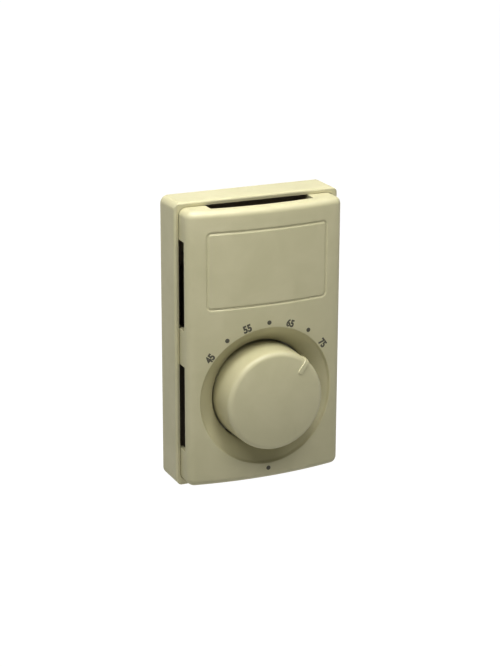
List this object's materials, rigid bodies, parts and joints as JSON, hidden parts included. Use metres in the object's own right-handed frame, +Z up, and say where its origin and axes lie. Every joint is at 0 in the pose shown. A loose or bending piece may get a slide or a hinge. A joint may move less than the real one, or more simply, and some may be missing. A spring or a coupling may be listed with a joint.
{
  "type": "wall thermostat",
  "caption": "Line-voltage wall thermostat: shallow base, removable bowed cover with vents, and a round setting knob that drives a cam, lever and bimetal switch.",
  "frame": {"origin": "middle of the base's rear face, on the wall, midway between the two box screw slots", "axes": "+X to the right as seen from the room, -Y out of the wall towards the room, +Z up"},
  "size_m": [0.0706, 0.0353, 0.1174],
  "materials": {
    "body_plastic": "satin moulded almond plastic, finely textured",
    "knob_plastic": "satin moulded almond plastic",
    "nylon": "natural nylon",
    "phenolic": "dark moulded phenolic",
    "fibre_sheet": "vulcanised fibre",
    "zinc_steel": "zinc plated sheet steel",
    "screw_steel": "zinc plated",
    "spring_steel": "bright spring steel",
    "brass": "stamped brass, satin",
    "bimetal": "bimetal strip, satin",
    "silver": "silver contact, polished",
    "ceramic": "unglazed ceramic",
    "resistance_wire": "oxidised resistance wire"
  },
  "bodies": {
    "housing": {"rear_base": "body_plastic", "insulating_sheet": "fibre_sheet", "mounting_frame": "zinc_steel", "frame_screws": "screw_steel", "shaft_bushing": "brass", "friction_washer": "spring_steel", "lever_pin": "screw_steel", "stop_pin": "screw_steel", "lever_spring": "spring_steel", "switch_case": "phenolic", "switch_lid": "phenolic", "switch_screws": "screw_steel", "line_terminal": "brass", "load_terminal": "brass", "terminal_screws": "screw_steel", "fixed_contact": "silver", "contact_pivot_pin": "screw_steel", "arm_return_spring": "spring_steel", "anticipator_core": "ceramic", "anticipator_winding": "resistance_wire", "anticipator_clips": "brass", "anticipator_screws": "screw_steel", "cover_clip_left": "spring_steel", "cover_clip_right": "spring_steel", "clip_screws": "screw_steel"},
    "cover": {"front_cover": "body_plastic"},
    "shaft": {"setting_shaft": "screw_steel", "setting_cam": "nylon", "shaft_retaining_ring": "spring_steel"},
    "knob": {"setting_knob": "knob_plastic", "knob_spring_clip": "spring_steel"},
    "lever": {"range_lever": "zinc_steel", "bimetal_blade": "bimetal", "bimetal_rivets": "screw_steel", "calibration_screw": "brass", "calibration_nut": "brass"},
    "plunger": {"switch_plunger": "nylon"},
    "arm": {"contact_arm": "brass", "moving_contact": "silver"}
  },
  "joints": [
    {"name": "knob_turn", "type": "hinge", "parent": "housing", "child": "shaft", "pos_m": [0, -0.0125, -0.0212], "axis": [0, 1, 0], "range_deg": [-88, 18]},
    {"name": "knob_pull", "type": "slide", "parent": "shaft", "child": "knob", "axis": [0, -1, 0], "range_m": [0, 0.016]},
    {"name": "cover_removal", "type": "slide", "parent": "housing", "child": "cover", "axis": [0, -1, 0], "range_m": [0, 0.045]},
    {"name": "lever_swing", "type": "hinge", "parent": "housing", "child": "lever", "pos_m": [-0.022, -0.0068, -0.0095], "axis": [0, 1, 0], "range_deg": [-0.7, 2.8], "deforming": ["lever_spring"]},
    {"name": "plunger_press", "type": "slide", "parent": "housing", "child": "plunger", "axis": [-1, 0, 0], "range_m": [0, 0.0004], "stiffness_N_per_m": 400},
    {"name": "contact_swing", "type": "hinge", "parent": "housing", "child": "arm", "pos_m": [-0.0143, -0.011, 0.0273], "axis": [0, 1, 0], "range_deg": [-0.5, 8], "deforming": ["arm_return_spring"]}
  ],
  "couplings": [
    {"joint": "lever_swing", "follows": "knob_turn", "ratio": -0.029483},
    {"joint": "contact_swing", "follows": "plunger_press", "rad_per_m": 309}
  ]
}
